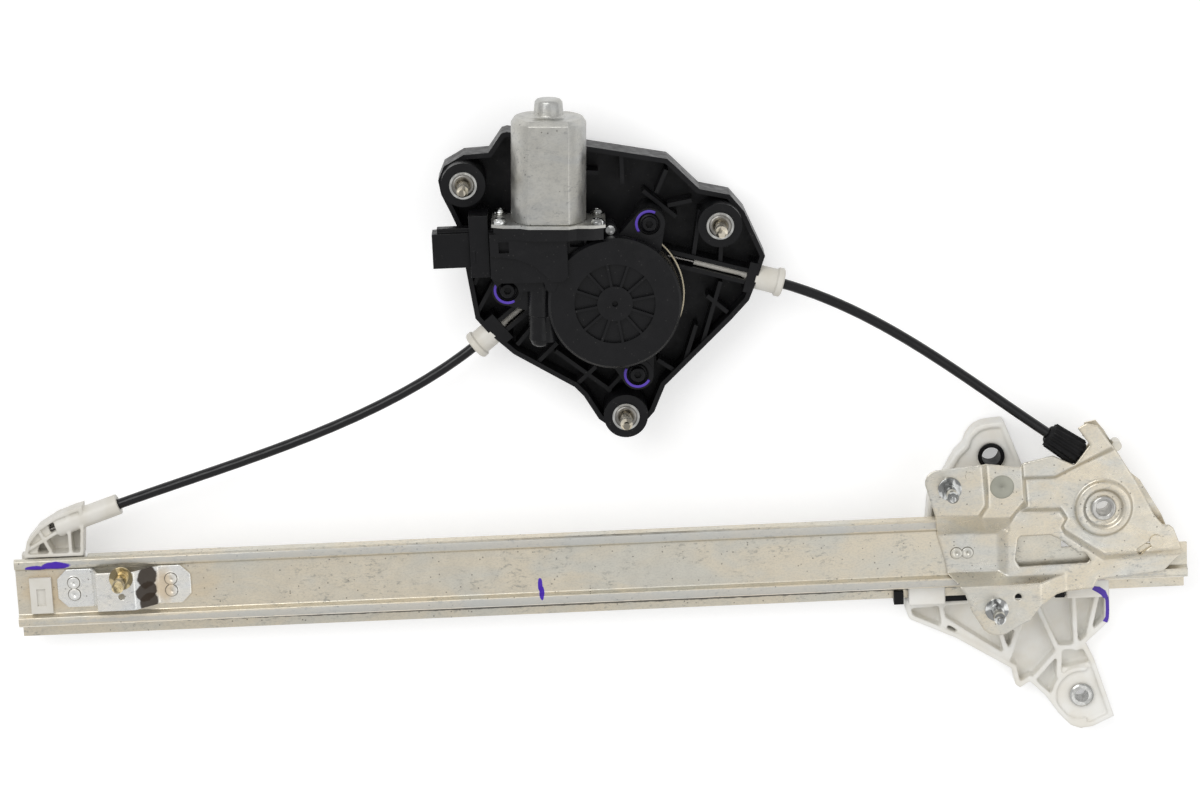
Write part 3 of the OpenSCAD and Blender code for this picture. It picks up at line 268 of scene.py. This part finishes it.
white_acetal = plastic("white_acetal", (0.68, 0.66, 0.61), 0.38, 0.2, 0.0, (0.62, 0.59, 0.52))
carrier_white = plastic("carrier_white", (0.84, 0.83, 0.79), 0.36, 0.2, 0.0, (0.79, 0.76, 0.69))
black_housing = plastic("black_housing", (0.0065, 0.0065, 0.0075), 0.36, 0.4, 0.04, shine=0.2)
black_case = plastic("black_case", (0.006, 0.006, 0.007), 0.32, 0.35, 0.03, shine=0.22)
black_small = plastic("black_small", (0.005, 0.005, 0.006), 0.38, 0.4, 0.02, shine=0.2)
black_rubber = plastic("black_rubber", (0.006, 0.006, 0.0065), 0.6, 0.5, 0.04, shine=0.2)
jacket = plastic("jacket", (0.005, 0.005, 0.006), 0.22, 0.1, 0.01, shine=0.35)
ivory = plastic("ivory", (0.62, 0.55, 0.40), 0.45)
brown = plastic("brown", (0.10, 0.05, 0.025), 0.5)
green = plastic("green", (0.015, 0.10, 0.04), 0.35)
ferrite = plastic("ferrite", (0.05, 0.05, 0.055), 0.55)
bronze = steel("bronze", (0.50, 0.32, 0.16), 0.35)
gold = steel("gold", (0.80, 0.58, 0.22), 0.22)
copper = steel("copper", (0.60, 0.26, 0.12), 0.30)
cable_steel = strand("cable_steel")

FINISHES = {
    "guide_rail": rail_zinc, "lower_bracket": bracket_zinc, "lower_stud": stud_gold,
    "rail_clip": white_acetal, "cable_guide": white_acetal, "pulley_plate": plate_zinc,
    "back_plate": plate_zinc, "pulley_axle": dull_steel, "plate_studs": stud_chrome,
    "plate_rivets": plate_zinc, "conduit_boot": black_rubber, "right_conduit": jacket,
    "left_conduit": jacket, "right_fitting": white_acetal, "left_fitting": white_acetal,
    "drum_housing": black_housing, "housing_bushings": seat_steel, "housing_studs": stud_warm,
    "gear_case": black_case, "gear_cover": black_case, "case_screws": black_small,
    "connector_module": black_small, "connector_shroud": black_small, "connector_pins": gold,
    "circuit_board": green, "motor_can": motor_steel, "motor_flange": motor_steel,
    "flange_screws": stud_chrome, "magnets": ferrite, "end_bearing": bronze,
    "shaft_bushes": bronze, "brush_holder": brown, "brushes": ferrite, "cables": cable_steel,
    "rail_stop": black_rubber, "carrier": carrier_white, "glass_bushing": seat_steel,
    "grommet_clip": black_small, "cable_nipples": dull_steel, "slide_shoes": black_small,
    "cable_drum": ivory, "output_shaft": dull_steel, "worm_wheel": ivory,
    "pulley": black_small, "armature_shaft": dull_steel, "armature_core": dull_steel,
    "armature_windings": copper, "commutator": copper}


def dress(node, material):
    obj = nodes[node]
    obj.data.materials.clear()
    obj.data.materials.append(material)
    for polygon in obj.data.polygons:
        polygon.material_index = 0
        polygon.use_smooth = True


for node_name, finish in FINISHES.items():
    dress(node_name, finish)


# Rounded edges

def weld(obj):
    obj.modifiers.new("weld", "WELD").merge_threshold = 0.002 * MM


def soften(obj, width):
    """Joins the triangles of each flat face, rounds the sharp edges and shades the rest flat."""
    weld(obj)
    flat = obj.modifiers.new("flat", "DECIMATE")
    flat.decimate_type = "DISSOLVE"
    flat.angle_limit = math.radians(0.6)
    edge = obj.modifiers.new("round", "BEVEL")
    edge.width = width * MM
    edge.segments = 2
    edge.limit_method = "ANGLE"
    edge.angle_limit = math.radians(32)
    edge.use_clamp_overlap = True
    shade = obj.modifiers.new("shade", "WEIGHTED_NORMAL")
    shade.keep_sharp = False


def press(obj, voxel, passes):
    """Rounds every edge as stamping or moulding does: an even mesh, then smoothed."""
    even = obj.modifiers.new("even", "REMESH")
    even.mode = "VOXEL"
    even.voxel_size = voxel * MM
    even.use_smooth_shade = True
    calm = obj.modifiers.new("calm", "SMOOTH")
    calm.factor = 0.5
    calm.iterations = passes


# Width of the rounding, in millimetres
EDGES = {
    "guide_rail": 0.35, "rail_clip": 0.3, "back_plate": 0.3, "pulley_axle": 0.2,
    "drum_housing": 0.4, "gear_case": 0.5, "gear_cover": 0.35, "case_screws": 0.2,
    "connector_module": 0.5, "connector_shroud": 0.4, "motor_can": 0.8, "motor_flange": 0.2,
    "flange_screws": 0.2, "grommet_clip": 0.2, "pulley": 0.2, "plate_rivets": 0.25,
    "lower_stud": 0.2, "plate_studs": 0.2, "left_fitting": 0.25, "right_fitting": 0.25,
    "slide_shoes": 0.2, "cable_nipples": 0.15, "rail_stop": 0.4}
# Size of the even mesh in millimetres, and passes of smoothing
PRESSED = {
    "pulley_plate": (0.45, 5), "lower_bracket": (0.4, 6), "cable_guide": (0.45, 3),
    "carrier": (0.75, 3), "conduit_boot": (0.35, 3)}
TURNED = ("housing_bushings", "housing_studs", "glass_bushing")
CORDS = ("left_conduit", "right_conduit", "cables")

for node_name, width in EDGES.items():
    soften(nodes[node_name], width)
for node_name, (voxel, passes) in PRESSED.items():
    press(nodes[node_name], voxel, passes)
for node_name in TURNED:
    weld(nodes[node_name])
    nodes[node_name].modifiers.new("split", "EDGE_SPLIT").split_angle = math.radians(30)
for node_name in CORDS:
    weld(nodes[node_name])
    round_off = nodes[node_name].modifiers.new("round", "SUBSURF")
    round_off.levels = round_off.render_levels = 1


# Moulded, stamped and painted detail that the solids leave out, and dark pieces of painted shade

def piece(name, points, faces, material, body=ROOT, smooth=True):
    mesh = bpy.data.meshes.new(name)
    mesh.from_pydata([Vector(p) * MM for p in points], [], faces)
    mesh.validate()
    mesh.polygons.foreach_set("use_smooth", [smooth] * len(mesh.polygons))
    mesh.materials.append(material)
    obj = bpy.data.objects.new(name, mesh)
    scene.collection.objects.link(obj)
    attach(obj, body)


def turned(name, centre, profile, material, sweep=(0, 360), steps=48):
    """A closed profile of (radius, height) turned about a line along Z through centre."""
    whole = sweep[1] - sweep[0] >= 360
    rows = steps if whole else steps + 1
    points, faces, n = [], [], len(profile)
    for i in range(rows):
        a = math.radians(sweep[0] + (sweep[1] - sweep[0]) * i / steps)
        points += [(centre[0] + r * math.cos(a), centre[1] + r * math.sin(a), z)
                   for r, z in profile]
    for i in range(steps):
        j = (i + 1) % rows
        faces += [(i * n + k, i * n + (k + 1) % n, j * n + (k + 1) % n, j * n + k)
                  for k in range(n)]
    if not whole:
        faces += [tuple(range(n - 1, -1, -1)), tuple(steps * n + k for k in range(n))]
    piece(name, points, faces, material)


def bead(radius, height, width, base):
    """The half-round section of a raised ring, as (radius, height) points."""
    turns = [math.pi * k / 6 for k in range(7)]
    top = [(radius + width / 2 * math.cos(t), base + height * math.sin(t)) for t in turns]
    return top + [(radius - width / 2, base - 0.4), (radius + width / 2, base - 0.4)]


def clinch(name, place, base, radius, material):
    """The cap of a round clinch, and the dirt that gathers in the seam round its foot."""
    cap = ((radius, base + 0.2), (radius, base + 0.6), (radius - 0.3, base + 0.8),
           (radius - 0.9, base + 0.72), (0.01, base + 0.7), (0.01, base + 0.2))
    turned(name, place, cap, material)
    turned(name + "_seam", place, bead(radius + 0.15, 0.3, 0.45, base), seam)


def stroke(name, path, half, z, material):
    """A flat line through the points of path, half as wide on each side as half says."""
    edge = []
    for i, (x, y) in enumerate(path):
        ahead, behind = path[min(i + 1, len(path) - 1)], path[max(i - 1, 0)]
        along = Vector((ahead[0] - behind[0], ahead[1] - behind[1])).normalized()
        edge.append((Vector((x, y)), Vector((-along.y, along.x)) * half[i]))
    rows = [[(*(p + n), h) for p, n in edge] + [(*(p - n), h) for p, n in reversed(edge)]
            for h in (z, z + 0.2)]
    count = len(rows[0])
    faces = [tuple(range(count - 1, -1, -1)), tuple(range(count, 2 * count))]
    faces += [(k, (k + 1) % count, count + (k + 1) % count, count + k) for k in range(count)]
    piece(name, rows[0] + rows[1], faces, material, CARRIER, smooth=False)


putty = plastic("putty", (0.37, 0.37, 0.31), 0.6)
seam = plastic("seam", (0.16, 0.145, 0.12), 0.7)
paint = plastic("purple_paint", (0.085, 0.035, 0.42), 0.45, 0.2)
PAINT_SWEEPS = ((60, 215), (95, 300), (150, 330))
for index, (place, sweep) in enumerate(zip(CASE_SCREWS, PAINT_SWEEPS)):
    turned(f"paint_arc_{index}", place, bead(6.3, 0.14, 1.3, 3.5), paint,
           sweep, 28)
for index, (x, side) in enumerate(BRACKET_CLINCHES):
    clinch(f"clinch_{index}", (x, BRACKET_MIDDLE + side), LOW_FACE + 0.22, 3.0, bracket_zinc)
for index, place in enumerate(PLATE_CLINCHES):
    clinch(f"plate_clinch_{index}", place, LOW_FACE, 2.8, plate_zinc)
# Painted shade: dark steel rings in the housing stud seats stand in for the shadowed recess round
# each stud
seat_shadow = steel("seat_shadow", (0.26, 0.25, 0.23), 0.3)
SEAT_RING = ((2.9, -0.1), (5.7, -0.1), (5.7, 0.06), (2.9, 0.06))
for index, place in enumerate(HOUSING_STUDS):
    turned(f"stud_seat_{index}", place, SEAT_RING, seat_shadow)
turned("plug_disc", PLATE_DISC,
       ((0.01, DISC_FACE + 0.5), (5.2, DISC_FACE + 0.5), (6.1, DISC_FACE + 0.1),
        (6.1, DISC_FACE - 0.3), (0.01, DISC_FACE - 0.3)), putty)
stroke("jaw_mark", ((494.6, -33.2), (497.4, -34.2), (499.9, -36), (501.3, -38.6)),
       (1.0, 1.6, 1.6, 1.2), -18.05, paint)
stroke("wall_mark", ((502.4, -39), (503.1, -43), (503.2, -48), (503, -52), (501.9, -54.6)),
       (1.0, 0.9, 0.9, 0.9, 1.3), -26.05, paint)
# Painted shade: a black strip across the carrier between its jaws stands in for the shadowed gap
# under the rail flange
stroke("gap_shade_strip", ((418.5, -38), (481.5, -38)), (1.6, 1.6), -25.8, black_small)
turned("seal_lip", DRUM_CENTRE, bead(34.6, 0.7, 0.9, -7.6), ivory, (-24, 58), 30)


# Stage, light and camera

TILT, ROLL = math.radians(15.0), math.radians(2.5)
CAMERA_AT = Vector((246.371, 565.215, 1786.963)) * MM
camera_data = bpy.data.cameras.new("camera")
camera_data.lens = 111.0
camera_data.sensor_width = 36.0
camera_data.clip_end = 20.0
camera = bpy.data.objects.new("camera", camera_data)
scene.collection.objects.link(camera)
scene.camera = camera
back = Vector((0, math.sin(TILT), math.cos(TILT)))
level = Vector((0, math.cos(TILT), -math.sin(TILT)))
right = math.cos(ROLL) * Vector((1, 0, 0)) - math.sin(ROLL) * level
up = math.sin(ROLL) * Vector((1, 0, 0)) + math.cos(ROLL) * level
turn_to_view = Matrix((right, up, back)).transposed().to_4x4()
camera.matrix_world = Matrix.Translation(CAMERA_AT) @ turn_to_view

FLOOR_REACH = 30.0
FLOOR_TONE, FLOOR_GLOW, SKY_LIGHT = 0.72, 0.42, 0.68
ground = cad_box[0][2] - 0.5 * MM
corners = [(-FLOOR_REACH, -FLOOR_REACH, ground), (FLOOR_REACH, -FLOOR_REACH, ground),
           (FLOOR_REACH, FLOOR_REACH, ground), (-FLOOR_REACH, FLOOR_REACH, ground)]
floor_mesh = bpy.data.meshes.new("floor")
floor_mesh.from_pydata(corners, [], [(0, 1, 2, 3)])
floor = bpy.data.objects.new("floor", floor_mesh)
scene.collection.objects.link(floor)

white = Shader("floor_white")
rays = white.add("ShaderNodeLightPath")
seen = white.math("MAXIMUM", rays.outputs["Is Camera Ray"], rays.outputs["Is Glossy Ray"])
glow = white.add("ShaderNodeEmission", Color=(1, 1, 1, 1),
                 Strength=white.math("MULTIPLY", seen, FLOOR_GLOW))
white.bsdf.inputs["Base Color"].default_value = (FLOOR_TONE, FLOOR_TONE, FLOOR_TONE, 1)
white.bsdf.inputs["Roughness"].default_value = 1.0
white.bsdf.inputs["Specular IOR Level"].default_value = 0.0
both = white.add("ShaderNodeAddShader")
white.tree.links.new(white.bsdf.outputs[0], both.inputs[0])
white.tree.links.new(glow.outputs[0], both.inputs[1])
white.tree.links.new(both.outputs[0], white.tree.nodes["Material Output"].inputs["Surface"])
floor_mesh.materials.append(white.material)

world = bpy.data.worlds.new("studio")
scene.world = world
world.use_nodes = True
sky = world.node_tree
sky_rays = sky.nodes.new("ShaderNodeLightPath")
sky_seen = sky.nodes.new("ShaderNodeMapRange")
sky_seen.inputs["To Min"].default_value = SKY_LIGHT
sky_seen.inputs["To Max"].default_value = 1.0
sky.links.new(sky_rays.outputs["Is Camera Ray"], sky_seen.inputs["Value"])
sky.links.new(sky_seen.outputs[0], sky.nodes["Background"].inputs["Strength"])
sky.nodes["Background"].inputs["Color"].default_value = (1, 1, 1, 1)


def lamp(name, at, size, watts):
    """A soft rectangular lamp that faces the middle of the part."""
    data = bpy.data.lights.new(name, "AREA")
    data.shape = "RECTANGLE"
    data.size, data.size_y = size
    data.energy = watts
    obj = bpy.data.objects.new(name, data)
    obj.location = at
    away = Vector(at) - Vector((0.25, 0.05, 0))
    obj.rotation_euler = away.to_track_quat("Z", "Y").to_euler()
    scene.collection.objects.link(obj)


lamp("key", (-0.45, 1.15, 1.5), (1.5, 1.1), 15)
lamp("fill", (1.3, -0.3, 1.3), (1.4, 1.4), 4)

scene.view_settings.view_transform = "Standard"
